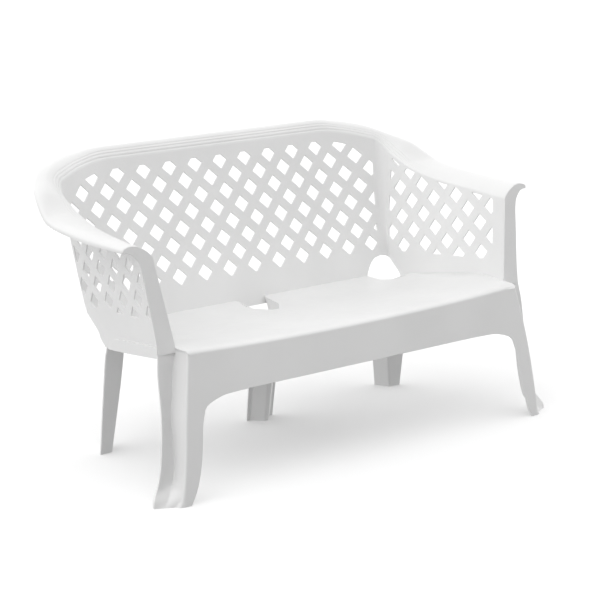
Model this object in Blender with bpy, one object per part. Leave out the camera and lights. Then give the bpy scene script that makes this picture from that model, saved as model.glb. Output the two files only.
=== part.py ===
"""Two-seat stacking garden bench, moulded in one piece from polypropylene.

The one moulding is kept as named regions which meet at fine seams. Lengths are in metres, +Z is up,
+X runs along the bench and the sitter faces -Y. Shapes are laid out from the front edge of the seat
(y = 0) and every finished region is then moved so that the origin is under the middle of the bench.
Right-hand regions are drawn at +X and mirrored for the left.
"""

import math

import bmesh
import bpy
from mathutils import Vector

# ---- driving dimensions -------------------------------------------------------------------------
HALF_WIDTH = 0.690  # outer edge of the arm rims
TOP = 0.776  # crest of the back rim
ORIGIN_Y = 0.3108  # middle of the depth, measured from the seat's front edge
WALL = 0.0045  # moulded wall thickness
GAP = 0.0003  # seam between neighbouring regions

SEAT_FRONT = 0.374  # height of the seat's front corners
SEAT_HALF = 0.5665  # half width of the seat at its front edge
NOSE = 0.009  # rounding of the seat's front edge
BACK_FOOT = (0.468, 0.339)  # y and z where the back wall meets the seat
BACK_LEAN = 0.3557  # backward run per metre of height
FRONT_SWEEP = 0.050  # how far the front toes stand forward of the seat edge

LATTICE_PITCH = (0.0433, 0.0404)  # half spacing of the back's diamond holes, across and up
LATTICE_OPEN = 0.56  # hole size as a share of the spacing
LATTICE_ZERO = 0.5444  # height of the back lattice's middle row
ARM_ZERO = (0.3682, 0.5187)  # y and z of the arm lattice's middle hole
ARM_ALONG = (-0.0395, 0.0090)  # arm lattice step towards the front
ARM_DOWN = (-0.0096, -0.0408)  # arm lattice step downwards

WHITE = (0.90, 0.90, 0.89, 1.0)
BENCH = "garden_bench"


# ---- small tools --------------------------------------------------------------------------------
def smooth(table, t):
    """Value at t on the monotone curve through the table's (t, value) rows, held beyond its ends."""
    if t <= table[0][0]:
        return table[0][1]
    if t >= table[-1][0]:
        return table[-1][1]
    rise = [(b[1] - a[1]) / (b[0] - a[0]) for a, b in zip(table, table[1:])]
    slopes = [rise[0]]
    for before, after in zip(rise, rise[1:]):
        slopes.append(2 * before * after / (before + after) if before * after > 0 else 0.0)
    slopes.append(rise[-1])
    i = max(k for k in range(len(rise)) if table[k][0] <= t)
    (t0, v0), (t1, v1) = table[i], table[i + 1]
    span = t1 - t0
    s = (t - t0) / span
    low = v0 * (1 + 2 * s) * (1 - s) ** 2 + span * slopes[i] * s * (1 - s) ** 2
    return low + v1 * s * s * (3 - 2 * s) - span * slopes[i + 1] * s * s * (1 - s)


def beyond(shape, a, b, out):
    """Point at (a, b) on a surface, moved out along its normal."""
    e = 1e-4
    along = shape(a + e, b) - shape(a - e, b)
    up = shape(a, b + e) - shape(a, b - e)
    return shape(a, b) + along.cross(up).normalized() * out


def clipped(outline, limits):
    """The convex outline cut back to where m*x + n*y <= c for each limit (m, n, c)."""
    for m, n, c in limits:
        kept = []
        for p, q in zip(outline, outline[1:] + outline[:1]):
            over_p = m * p[0] + n * p[1] - c
            over_q = m * q[0] + n * q[1] - c
            if over_p <= 0:
                kept.append(p)
            if over_p * over_q < 0:
                s = over_p / (over_p - over_q)
                kept.append((p[0] + (q[0] - p[0]) * s, p[1] + (q[1] - p[1]) * s))
        outline = kept
    return outline


def area(outline):
    pairs = zip(outline, outline[1:] + outline[:1])
    return abs(sum(p[0] * q[1] - q[0] * p[1] for p, q in pairs)) / 2


# ---- finished regions ---------------------------------------------------------------------------
def material(name):
    found = bpy.data.materials.get(name)
    if found:
        return found
    made = bpy.data.materials.new(name)
    made.use_nodes = True
    shader = made.node_tree.nodes["Principled BSDF"]
    shader.inputs["Base Color"].default_value = WHITE
    shader.inputs["Roughness"].default_value = 0.38
    shader.inputs["IOR"].default_value = 1.49
    return made


def finish(name, bm, mirror):
    """Closes a region's mesh into an object, and makes its mirror image if asked."""
    bmesh.ops.remove_doubles(bm, verts=bm.verts, dist=1e-5)
    bmesh.ops.recalc_face_normals(bm, faces=bm.faces)
    if bm.calc_volume(signed=True) < 0:
        bmesh.ops.reverse_faces(bm, faces=bm.faces)
    bmesh.ops.translate(bm, verts=bm.verts, vec=(0, -ORIGIN_Y, 0))
    sides = [("_right", 1), ("_left", -1)] if mirror else [("", 1)]
    for side, sign in sides:
        mesh = bpy.data.meshes.new(name + side)
        bm.to_mesh(mesh)
        if sign < 0:
            for vert in mesh.vertices:
                vert.co.x = -vert.co.x
            mesh.flip_normals()
        mesh.materials.append(material(name + side))
        home.objects.link(bpy.data.objects.new(name + side, mesh))
    bm.free()


def plate(name, outline, holes, shape, near, far, cuts_a, cuts_b, mirror=False):
    """A sheet laid over a surface: a flat outline with holes, cut across so that it can bend."""
    curve = bpy.data.curves.new("outline", "CURVE")
    curve.dimensions = "2D"
    curve.fill_mode = "BOTH"
    curve.extrude = 0.5
    for ring in [outline] + holes:
        spline = curve.splines.new("POLY")
        spline.points.add(len(ring) - 1)
        spline.use_cyclic_u = True
        for point, (a, b) in zip(spline.points, ring):
            point.co = (a, b, 0, 1)
    blank = bpy.data.objects.new("outline", curve)
    bm = bmesh.new()
    bm.from_mesh(bpy.data.meshes.new_from_object(blank))
    bmesh.ops.remove_doubles(bm, verts=bm.verts, dist=1e-5)
    for axis, cuts in ((0, cuts_a), (1, cuts_b)):
        for cut in cuts:
            at = Vector((0, 0, 0))
            at[axis] = cut
            facing = Vector((axis == 0, axis == 1, 0))
            everything = bm.verts[:] + bm.edges[:] + bm.faces[:]
            bmesh.ops.bisect_plane(bm, geom=everything, plane_co=at, plane_no=facing, dist=1e-5)
    for vert in bm.verts:
        vert.co = beyond(shape, vert.co.x, vert.co.y, near if vert.co.z > 0 else far)
    finish(name, bm, mirror)
    bpy.data.objects.remove(blank)
    bpy.data.curves.remove(curve)


def loft(name, rings, mirror=False):
    """A closed skin through rings of matching points, capped at both ends."""
    bm = bmesh.new()
    rows = [[bm.verts.new(point) for point in ring] for ring in rings]
    count = len(rows[0])
    for low, high in zip(rows, rows[1:]):
        for k in range(count):
            m = (k + 1) % count
            bm.faces.new((low[k], low[m], high[m], high[k]))
    bm.faces.new(rows[0][::-1])
    bm.faces.new(rows[-1])
    finish(name, bm, mirror)


def thickened(line, thick):
    """A closed ring from an open line of (x, y, z): the line, and the line moved left of its run."""
    back = []
    for k, point in enumerate(line):
        before = Vector(line[max(k - 1, 0)])
        after = Vector(line[min(k + 1, len(line) - 1)])
        here = Vector(point)
        runs = [r.xy.normalized() for r in (here - before, after - here) if r.xy.length > 1e-7]
        run = sum(runs, Vector((0, 0))).normalized()
        mitre = thick / max(run.dot(runs[0]), 0.5)
        back.append(Vector((here.x - run.y * mitre, here.y + run.x * mitre, here.z)))
    return [Vector(p) for p in line] + back[::-1]


# ---- the surfaces the sheets lie on -------------------------------------------------------------
DECK_MIDDLE = [(0.0, 0.361), (0.1, 0.3515), (0.2, 0.341), (0.3, 0.3305), (0.36, 0.3262),
               (0.42, 0.328), (0.468, 0.337)]
DECK_SIDE = [(0.0, 0.374), (0.05, 0.376), (0.1, 0.382), (0.15, 0.383), (0.224, 0.371),
             (0.309, 0.358), (0.38, 0.346), (0.45, 0.339)]


def front_y(z):
    """The front face of the apron and front legs, sweeping forward towards the floor."""
    return -FRONT_SWEEP * (1 - (max(z, 0) / SEAT_FRONT) ** 1.5)


def post_x(z):
    return 0.5069 + 0.1628 * z


def post_y(z):
    return -0.0173 + 0.1709 * z


def side_x(y, z):
    """Inner face of the arm wall: straight runs from the arm front to the rear corner."""
    front, rear = post_x(z), 0.531 + 0.13 * (z - 0.40)
    return front + (rear - front) * (y - post_y(z)) / (0.5 - post_y(z))


def back_y(x, z):
    """Inner face of the back wall: a leaning plane whose ends curl forward towards the top."""
    curl = 0.0909 * max(z - 0.40, 0) * (max(abs(x) - 0.35, 0) / 0.17) ** 2
    return BACK_FOOT[0] + BACK_LEAN * (z - BACK_FOOT[1]) - curl


def corner(z):
    """Where the back and arm walls would cross at height z."""
    x, y = 0.54, 0.5
    for _ in range(8):
        y = back_y(x, z)
        x = side_x(y, z)
    return x, y


def back_end(z):
    """x at which the back wall gives way to the corner column."""
    return corner(z)[0] - smooth([(0.33, 0.018), (0.40, 0.028), (0.56, 0.028), (0.70, 0.022)], z)


def side_end(z):
    """y at which the corner column gives way to the arm wall."""
    return corner(z)[1] - smooth([(0.33, 0.005), (0.40, 0.006), (0.70, 0.031)], z)


def back_wall(x, z):
    return Vector((x, back_y(x, z), z))


def side_wall(y, z):
    return Vector((side_x(y, z), y, z))


def corner_wall(t, z):
    x0, y2 = back_end(z), side_end(z)
    start = Vector((x0, back_y(x0, z), z))
    end = Vector((side_x(y2, z), y2, z))
    middle = Vector((*corner(z), z))
    return start * (1 - t) ** 2 + middle * 2 * t * (1 - t) + end * t * t


def deck_edge(y):
    """x of the seat's side edge: over the leg's side face in front, at the arm wall behind it."""
    if y < 0.046:
        return SEAT_HALF + 0.09 * y
    return side_x(y, smooth(DECK_SIDE, y))


def deck_z(x, y):
    """Top of the seat: dished between the front edge, the back wall and the arm walls."""
    middle, side = smooth(DECK_MIDDLE, y), smooth(DECK_SIDE, y)
    power = smooth([(0.0, 2.0), (0.15, 6.0), (0.30, 10.0)], y)
    return middle + (side - middle) * min(abs(x) / deck_edge(y), 1.0) ** power


def deck(x, s):
    """The seat surface; below s = 0 it rolls over the front edge, s being length along the skin."""
    if s >= 0:
        return Vector((x, NOSE + s, deck_z(x, NOSE + s)))
    turn = -s / NOSE
    low = deck_z(x, NOSE) - NOSE
    return Vector((x, NOSE - (NOSE - front_y(low)) * math.sin(turn), low + NOSE * math.cos(turn)))


def front_face(x, z):
    return Vector((x, front_y(z), z))


def post_face(x, z):
    return Vector((x, post_y(z), z))


# ---- the rim: where it starts on the wall, its crest and its outer edge -------------------------
# Stations 0 to 3 lie along the back, 3 to 5 round the corner and 5 to 9 along the arm.
START_X = [(0, 0.0), (1, 0.36), (2, 0.455)]
START_Y = [(6, 0.455), (7, 0.37), (8, 0.225), (9, 0.0905)]
START_Z = [(0, 0.742), (1, 0.742), (2, 0.7335), (3, 0.712), (4, 0.695), (5, 0.674), (6, 0.648),
           (7, 0.625), (8, 0.6095), (9, 0.5965)]
CREST = [(0, 0.645, TOP), (0.36, 0.645, TOP), (0.455, 0.6435, 0.767), (0.555, 0.607, 0.745),
         (0.5985, 0.5615, 0.7225), (0.628, 0.511, 0.7030), (0.6528, 0.4338, 0.6565),
         (0.660, 0.36, 0.6440), (0.662, 0.225, 0.637), (0.663, 0.0915, 0.6335)]
OUTER = [(0, 0.6715, 0.760), (0.36, 0.6715, 0.760), (0.46, 0.6705, 0.752), (0.5627, 0.635, 0.737),
         (0.6197, 0.5803, 0.7155), (0.6578, 0.5158, 0.685), (0.6848, 0.4248, 0.642),
         (HALF_WIDTH, 0.36, 0.633), (HALF_WIDTH, 0.225, 0.6225), (HALF_WIDTH, 0.096, 0.6235)]
LIP = 0.006
RIM_SEAM = 0.012  # half the seam between rim regions, as a share of a station
STATIONS = [0, 1, 1.5, 2, 2.5, 3, 3.5, 4, 4.5, 5, 5.5, 6, 6.5, 7, 8, 9]


def through(points, u):
    return Vector([smooth([(k, p[i]) for k, p in enumerate(points)], u) for i in range(3)])


def rim_wall(u):
    """The wall under station u of the rim."""
    return back_wall if u <= 3 else corner_wall if u <= 5 else side_wall


def rim_place(u, wall):
    """Position of station u on that wall: x on the back, 0 to 1 on the corner, y on the arm."""
    if wall == back_wall:
        return smooth(START_X + [(3, back_end(START_Z[3][1]))], u)
    if wall == corner_wall:
        return (u - 3) / 2
    return smooth([(5, side_end(START_Z[5][1]))] + START_Y, u)


def rim_start(u, out=0.0):
    """Where the rim leaves the wall at station u, on its inner or its outer face."""
    wall = rim_wall(u)
    place, height = rim_place(u, wall), smooth(START_Z, u)
    return beyond(wall, place, height, out if wall == side_wall else -out)


def arc(p, q, r, s, count):
    """Points of the cubic from p to s, without p itself."""
    found = []
    for k in range(1, count + 1):
        t = k / count
        point = p * (1 - t) ** 3 + q * 3 * t * (1 - t) ** 2 + r * 3 * t * t * (1 - t) + s * t ** 3
        found.append(point)
    return found


def rim_line(u):
    """The upper skin across the rim at station u, from the wall over the crest to the lip."""
    start, crest, outer = rim_start(u), through(CREST, u), through(OUTER, u)
    away = Vector((crest.x - start.x, crest.y - start.y, 0))
    lean = smooth([(0, BACK_LEAN), (5, 0.25), (9, 0.1628)], u)
    rise = 0.3 * (crest.z - start.z)
    leave = start + Vector((0, 0, rise)) + away.normalized() * rise * lean
    line = [start] + arc(start, leave, crest - away * 0.45, crest, 5)
    over = Vector((outer.x - crest.x, outer.y - crest.y, 0))
    drop = Vector((0, 0, outer.z - crest.z))
    line += arc(crest, crest + over * 0.55, outer - drop * 0.55, outer, 4)
    return line + [outer - Vector((0, 0, LIP))]


def rim_ring(u):
    """The rim's closed section: its upper skin, and its underside one wall thickness below."""
    line = rim_line(u)
    away = (line[-1] - line[0]).xy.normalized()
    under = []
    for k, point in enumerate(line):
        run = (line[min(k + 1, len(line) - 1)] - line[max(k - 1, 0)]).normalized()
        flat = run.x * away.x + run.y * away.y
        normal = Vector((away.x * run.z, away.y * run.z, -flat)).normalized()
        under.append(point + normal * WALL)
    under[0] = rim_start(u, WALL)
    ring = line + under[::-1]
    if u == 9:
        for point in ring:
            point.y = post_y(point.z) + WALL + 3 * GAP
    return ring


def rim_part(first, last):
    inside = [u for u in STATIONS if first < u < last]
    ends = [first + RIM_SEAM if first > 0 else first, last - RIM_SEAM if last < 9 else last]
    return [rim_ring(u) for u in [ends[0]] + inside + [ends[1]]]


def build_rims():
    half = rim_part(0, 1)
    mirrored = [[Vector((-p.x, p.y, p.z)) for p in ring] for ring in half[:0:-1]]
    loft("back_rim", mirrored + half)
    loft("corner_rim", rim_part(1, 6), mirror=True)
    loft("arm_rim", rim_part(6, 9), mirror=True)


# ---- walls --------------------------------------------------------------------------------------
ARCH_BACK = [(0.430, 0.316), (0.433, 0.331), (0.447, 0.356), (0.473, 0.381)]
ARCH_TOP = [(0.0, 0.386), (0.5, 0.383), (1.0, 0.3735)]
ARCH_SIDE = [(0.4735, 0.3715), (0.454, 0.356), (0.430, 0.337), (0.424, 0.3185)]


def rim_seam(first, last, wall):
    """(place, height) of the wall's top edge between two stations, just under the rim."""
    found = [u for u in STATIONS if first <= u <= last]
    return [(rim_place(u, wall), smooth(START_Z, u) - 2.5 * GAP) for u in found]


def diamond(middle, across, up, open_share):
    (cx, cy), (ax, ay), (ux, uy) = middle, across, up
    corners = [(1, 0), (0, 1), (-1, 0), (0, -1)]
    size = open_share
    return [(cx + size * (i * ax + k * ux), cy + size * (i * ay + k * uy)) for i, k in corners]


def line_limit(p, q):
    """The half plane to the left of the run from p to q."""
    m, n = q[1] - p[1], p[0] - q[0]
    return m, n, m * p[0] + n * p[1]


def lattice(centres, across, up, limits):
    whole = area(diamond((0, 0), across, up, LATTICE_OPEN))
    found = []
    for middle in centres:
        hole = clipped(diamond(middle, across, up, LATTICE_OPEN), limits)
        if len(hole) > 2 and area(hole) > 0.08 * whole:
            found.append(hole)
    return found


def back_holes():
    """Rows of diamonds on the back, cut off along the lattice's straight border."""
    dx, dz = LATTICE_PITCH
    right = [(0.500, 0.403), (0.5305, 0.653), (0.5365, 0.70)]
    top = [(0.520, 0.680), (0.476, 0.700), (0.433, 0.712), (0.390, 0.7206), (-0.390, 0.7206)]
    limits = [line_limit((-0.5, 0.403), (0.5, 0.403)), line_limit(right[0], right[1])]
    limits += [line_limit(p, q) for p, q in zip(top, top[1:])]
    flipped = [(-m, n, c) for m, n, c in limits]
    centres = []
    for row in range(-4, 4):
        for column in range(-12, 13):
            if (row + column) % 2 == 0:
                lift = 0.004 * max(abs(column) - 10, 0) * max(-row, 0) / 2
                centres.append((column * dx, LATTICE_ZERO - row * dz + lift))
    return lattice(centres, (dx, 0), (0, dz), limits + flipped)


def arm_holes():
    """The same diamonds on the arm wall, leaning with it, in (y, z)."""
    top = [(0.516, 0.6665), (0.480, 0.6475), (0.417, 0.6310), (0.366, 0.6185), (0.130, 0.5935)]
    rear = [(0.482, 0.400), (0.4985, 0.500), (0.510, 0.660)]
    limits = [line_limit((0.130, 0.4257), (0.478, 0.3976))]
    limits += [line_limit(rear[0], rear[1]), line_limit(rear[1], rear[2])]
    limits.append(line_limit((post_y(0.6) + 0.043, 0.6), (post_y(0.4) + 0.043, 0.4)))
    centres = []
    for row in range(-4, 4):
        for column in range(-5, 8):
            if (row + column) % 2 == 0:
                y = ARM_ZERO[0] + ARM_ALONG[0] * column + ARM_DOWN[0] * row
                z = ARM_ZERO[1] + ARM_ALONG[1] * column + ARM_DOWN[1] * row
                centres.append((y, z))
    found = []
    for middle in centres:
        ceiling = [line_limit(p, q) for p, q in zip(top, top[1:]) if q[0] <= middle[0] <= p[0]]
        if not ceiling:
            ceiling = [line_limit(top[0], top[1]) if middle[0] > top[0][0] else line_limit(top[-2], top[-1])]
        found += lattice([middle], ARM_ALONG, ARM_DOWN, limits + ceiling)
    return found


def build_back():
    right = [(x - GAP, z) for z in (0.66, 0.60, 0.55, 0.50, 0.45, 0.42) for x in [back_end(z)]]
    low = (back_end(0.386) - GAP, 0.386)
    top = rim_seam(0, 3, back_wall)
    top[-1] = (top[-1][0] - GAP, top[-1][1])
    half = top + right + [low] + ARCH_BACK[::-1]
    outline = half + [(-x, z) for x, z in half[:0:-1]]
    bends = [0.36, 0.42, 0.48]
    cuts = [-x for x in bends] + bends
    plate("back_panel", outline, back_holes(), back_wall, 0, -WALL, cuts, [0.40])


def build_corner():
    slack = 0.008
    top = [(min(max(t, slack), 1 - slack), z) for t, z in rim_seam(3, 5, corner_wall)]
    arch = [(min(max(t, slack), 1 - slack), z) for t, z in ARCH_TOP[::-1]]
    sides = [0.66, 0.60, 0.55, 0.50, 0.45, 0.42]
    right = [(1 - slack, z) for z in sides]
    left = [(slack, z) for z in sides[::-1]]
    plate("corner_panel", top + right + arch + left, [], corner_wall, 0, -WALL,
          [0.2, 0.4, 0.6, 0.8], sides, mirror=True)


def groove_z(y):
    """The shadow line outside the arm, above the side skirt."""
    return 0.3738 - 0.1027 * y


def build_arm():
    front = [(post_y(z) + WALL + 3 * GAP, z) for z in (0.602, 0.50, 0.3645)]
    low = [(0.0585, 0.3645)] + [(y, groove_z(y) - 0.010) for y in (0.0585, 0.12, 0.22, 0.32, 0.40)]
    rear = [(side_end(z) - GAP, z) for z in (0.42, 0.45, 0.50, 0.55, 0.60, 0.66)]
    top = rim_seam(5, 9, side_wall)[::-1]
    top[0] = (front[0][0], top[0][1])
    top[-1] = (top[-1][0] - GAP, top[-1][1])
    arch = ARCH_SIDE[::-1][1:]
    outline = top[::-1] + front[1:] + low + [(0.4245, 0.3215)] + arch + rear
    plate("arm_panel", outline, arm_holes(), side_wall, 0, WALL, [0.15, 0.30, 0.44], [], mirror=True)


# ---- seat ---------------------------------------------------------------------------------------
CENTRE_NOTCH = [(0.050, 0.4660), (0.050, 0.396), (0.014, 0.350)]
CORNER_NOTCH = [(0.432, 0.4640), (0.446, 0.425), (0.469, 0.400), (0.500, 0.389), (0.5265, 0.387)]


def seat_side(y):
    return deck_edge(y) - (10 * GAP if y > 0.046 else 0)


def build_seat():
    front = -NOSE * math.pi / 2
    back = BACK_FOOT[0] - 13 * GAP
    half = [(0.20, front), (0.45, front), (SEAT_HALF, front), (SEAT_HALF, 0.0)]
    half += [(seat_side(y), y - NOSE) for y in (0.04, 0.055, 0.10, 0.15, 0.20, 0.25, 0.30, 0.35)]
    half += [(seat_side(0.386), 0.3855 - NOSE)]
    half += [(x - 0.0009, y - NOSE - 0.0009) for x, y in CORNER_NOTCH[-2:0:-1]]
    half += [(CORNER_NOTCH[0][0] - 0.002, back - NOSE)]
    half += [(CENTRE_NOTCH[0][0] + 0.001, back - NOSE)]
    half += [(x + 0.001, y - NOSE - 0.0005) for x, y in CENTRE_NOTCH[1:]]
    outline = half + [(-x, s) for x, s in half[::-1]]
    across = [0.12, 0.24, 0.36, 0.44, 0.50, 0.54]
    along = [front * k / 3 for k in (1, 2)] + [0.0] + [0.04 * k + 0.001 for k in range(1, 12)]
    plate("seat_panel", outline, [], deck, 0, -WALL, [-x for x in across] + [0] + across, along)


def build_ribs():
    """Straight ribs under the seat, crossing at right angles, hanging just below it."""
    wide, deep, bar = 0.480, (0.022, 0.318), 0.004
    columns, rows = 8, 3
    dx, dy = 2 * wide / columns, (deep[1] - deep[0]) / rows
    holes = []
    for i in range(columns):
        for j in range(rows):
            x0, y0 = -wide + i * dx, deep[0] + j * dy
            x1, y1 = x0 + dx - bar / 2, y0 + dy - bar / 2
            holes.append([(x0 + bar / 2, y0 + bar / 2), (x1, y0 + bar / 2), (x1, y1), (x0 + bar / 2, y1)])
    edge = bar / 2
    outline = [(-wide - edge, deep[0] - edge), (wide + edge, deep[0] - edge),
               (wide + edge, deep[1] + edge), (-wide - edge, deep[1] + edge)]
    across = [-wide + (i + share) * dx for i in range(columns) for share in (0.25, 0.75)]
    along = [deep[0] + (j + share) * dy for j in range(rows) for share in (0.25, 0.75)]
    plate("underside_ribs", outline, holes, deck, -WALL - 6 * GAP, -WALL - 0.015, across, along)


def apron_foot(x):
    table = [(0.386, 0.2559), (0.4637, 0.2535), (0.499, 0.2459), (0.526, 0.2350), (0.535, 0.2255)]
    return smooth(table, abs(x))


def build_apron():
    tops = [0.0, 0.12, 0.24, 0.36, 0.44, 0.50, 0.535]
    feet = [0.535, 0.526, 0.513, 0.499, 0.482, 0.4637, 0.43, 0.386]
    half = [(x, deck_z(x, NOSE) - NOSE - GAP) for x in tops] + [(x, apron_foot(x)) for x in feet]
    outline = half + [(-x, z) for x, z in half[:0:-1]]
    plate("front_apron", outline, [], front_face, 0, -WALL, [], [0.27, 0.29, 0.31, 0.33])


def build_side_skirt():
    top = [(y, groove_z(y) - GAP) for y in (0.0575, 0.20, 0.30, 0.40, 0.418)]
    rear = [(0.419, 0.322), (0.411, 0.306), (0.400, 0.2965)]
    low = [(0.35, 0.3015), (0.26, 0.312), (0.18, 0.322), (0.10, 0.333), (0.0575, 0.339)]
    plate("side_skirt", top + rear + low, [], side_wall, WALL + GAP, 0.0095, [0.15, 0.25, 0.33], [],
          mirror=True)


def build_rear_skirt():
    outline = [(0.056, 0.3157), (0.056, 0.296), (0.064, 0.288), (0.400, 0.288), (0.414, 0.296),
               (0.4225, 0.3157)]
    plate("rear_skirt", outline, [], back_wall, 0, -WALL, [], [], mirror=True)


# ---- legs and arm posts -------------------------------------------------------------------------
LEG_INNER = [(0.0, 0.5970), (0.005, 0.5945), (0.02, 0.5851), (0.05, 0.5728), (0.08, 0.5632),
             (0.12, 0.5546), (0.16, 0.5497), (0.19, 0.5455), (0.21, 0.5411), (0.2255, 0.5353)]
LEG_CORNER = [(0.0, 0.635), (0.015, 0.6245), (0.04, 0.6175), (0.105, 0.608), (0.21, 0.595),
              (0.28, 0.5835), (0.373, 0.5663)]
FLANGE_IN_X = [(0.0, 0.658), (0.02, 0.640), (0.05, 0.616), (0.10, 0.606), (0.20, 0.601), (0.28, 0.586),
               (0.36, 0.5708)]
FLANGE_IN_Y = [(0.0, -0.022), (0.02, -0.014), (0.05, 0.003), (0.10, 0.007), (0.20, 0.020),
               (0.28, 0.035), (0.36, 0.050)]
FLANGE_OUT_X = [(0.0, 0.683), (0.01, 0.6815), (0.02, 0.6755), (0.04, 0.664), (0.07, 0.6525),
                (0.10, 0.6462), (0.15, 0.6398), (0.20, 0.6343), (0.25, 0.6304), (0.30, 0.6304),
                (0.34, 0.627), (0.3625, 0.6235)]
FLANGE_OUT_Y = [(0.0, -0.0105), (0.01, -0.010), (0.02, -0.0038), (0.04, 0.0017), (0.07, 0.004),
                (0.10, 0.0069), (0.15, 0.0136), (0.20, 0.0195), (0.25, 0.026), (0.30, 0.0315),
                (0.34, 0.0395), (0.3625, 0.0446)]
POST_OUTER = [(0.3625, 0.6235), (0.40, 0.6245), (0.45, 0.629), (0.50, 0.6345), (0.55, 0.6395),
              (0.58, 0.6440), (0.594, 0.6490)]


def front_leg_ring(z):
    """Front web, side face set back from it, and the outer flange with its scooped channel."""
    y = front_y(z)
    edge, turn = smooth(LEG_CORNER, z), smooth([(0.0, 0.017), (0.02, 0.010), (0.05, 0.006)], z)
    inner = Vector((smooth(FLANGE_IN_X, z), smooth(FLANGE_IN_Y, z), z))
    outer = Vector((smooth(FLANGE_OUT_X, z), smooth(FLANGE_OUT_Y, z), z))
    scoop = smooth([(0.02, 0.0), (0.055, 0.008), (0.30, 0.008), (0.355, 0.0)], z)
    band = outer - inner
    line = [(smooth(LEG_INNER, z), y + 0.001, z), (edge - turn, y, z),
            (edge - 0.3 * turn, y + 0.3 * turn, z), (edge, y + turn, z), inner,
            inner + band * 0.18 + Vector((0, scoop, 0)), inner + band * 0.45 + Vector((0, scoop, 0)),
            inner + band * 0.62, outer]
    return thickened(line, smooth([(0.0, 0.010), (0.02, 0.009), (0.05, WALL)], z))


def build_front_leg():
    levels = [0.0, 0.01, 0.02, 0.035, 0.055, 0.08, 0.12, 0.16, 0.19, 0.21, 0.2255, 0.28, 0.33, 0.3622]
    loft("front_leg", [front_leg_ring(z) for z in levels], mirror=True)


def build_post():
    """The arm's flat front: a band that rises from the leg and caps the end of the rim."""
    cap = [(p.x, p.z) for p in rim_line(9)]
    flare = [(0.6790, 0.6175), (0.6655, 0.6130), (0.6565, 0.6040)]
    outer = [(smooth(POST_OUTER, z), z) for z in (0.594, 0.58, 0.55, 0.50, 0.45, 0.40)]
    foot = [(smooth(POST_OUTER, 0.3625), 0.3637), (0.5718, 0.3637), (0.5718, 0.379)]
    outline = cap + flare + outer + foot + [(post_x(0.379), 0.379)]
    plate("arm_post", outline, [], post_face, 0, -WALL, [], [], mirror=True)


def leg_rings(levels, corners):
    """Rings of a folded channel leg: each corner's (x, y) is given as curves over the height."""
    rings = []
    for z in levels:
        line = [(smooth(cx, z), smooth(cy, z), z) for cx, cy in corners]
        rings.append(thickened(line, WALL))
    return rings


def corner_curves(levels, lines):
    """Turns one line of (x, y) corners per level into each corner's two curves over the height."""
    found = []
    for k in range(len(lines[0])):
        cx = [(z, line[k][0]) for z, line in zip(levels, lines)]
        cy = [(z, line[k][1]) for z, line in zip(levels, lines)]
        found.append((cx, cy))
    return found


def build_rear_legs():
    levels = [0.0, 0.27, 0.290, 0.328]
    side = [[(0.4749, 0.4775), (0.4935, 0.4355), (0.4985, 0.4330), (0.5335, 0.4310)],
            [(0.4400, 0.4660), (0.4590, 0.4220), (0.4655, 0.4160), (0.5350, 0.3960)],
            [(0.4370, 0.4560), (0.4560, 0.4250), (0.4680, 0.4100), (0.5330, 0.3930)],
            [(0.4325, 0.4595), (0.4465, 0.4255), (0.4705, 0.4005), (0.5255, 0.3885)]]
    rings = leg_rings([0.0, 0.10, 0.20, 0.27, 0.285], corner_curves(levels, side))
    top = thickened([(x, y, 0.302) for x, y in side[3][:3]] + [(0.5235, 0.3885, 0.302)], WALL)
    rim = thickened([(x, y, deck_z(x, y)) for x, y in side[3]], WALL)
    rings += [top, rim]
    loft("rear_leg", rings, mirror=True)
    centre = [[(-0.0455, 0.4265), (-0.0345, 0.4262), (-0.0310, 0.4220), (-0.0060, 0.3965)],
              [(-0.0500, 0.3990), (-0.0400, 0.3985), (-0.0385, 0.3920), (-0.0100, 0.3600)],
              [(-0.0500, 0.4300), (-0.0480, 0.4250), (-0.0465, 0.3950), (-0.0120, 0.3570)],
              [(-0.0499, 0.4605), (-0.0499, 0.4520), (-0.0499, 0.3960), (-0.0140, 0.3500)]]
    whole = [line + [(-x, y) for x, y in line[::-1]] for line in centre]
    rings = leg_rings([0.0, 0.10, 0.20, 0.27, 0.290], corner_curves(levels, whole))
    rings.append(thickened([(x, y, deck_z(x, y)) for x, y in whole[3]], WALL))
    loft("rear_leg_centre", rings)


# ---- build --------------------------------------------------------------------------------------
for old in list(bpy.data.objects):
    bpy.data.objects.remove(old)
home = bpy.data.collections.new(BENCH)
bpy.context.scene.collection.children.link(home)

build_back()
build_corner()
build_arm()
build_rims()
build_seat()
build_ribs()
build_apron()
build_side_skirt()
build_rear_skirt()
build_front_leg()
build_post()
build_rear_legs()
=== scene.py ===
"""White moulded two-seat garden bench: the visual model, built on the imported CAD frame.

Every region of the moulding is made again as a thin skin with rounded edges, laid over the same
surfaces as the CAD, and rides on the frame's one body. Lengths are in metres, +Z is up, +X runs along
the bench and the sitter faces -Y. Shapes are laid out from the seat's front edge (y = 0) and moved
so that the origin is under the middle. Right-hand regions are drawn at +X and mirrored for the left.
The front legs, the rear ends of the side skirts and the lower rear corners of the arm panels are
shaped a little differently from the CAD's, inside the same box.
"""

import math

import bpy
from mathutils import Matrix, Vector
from mathutils.geometry import delaunay_2d_cdt


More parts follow.
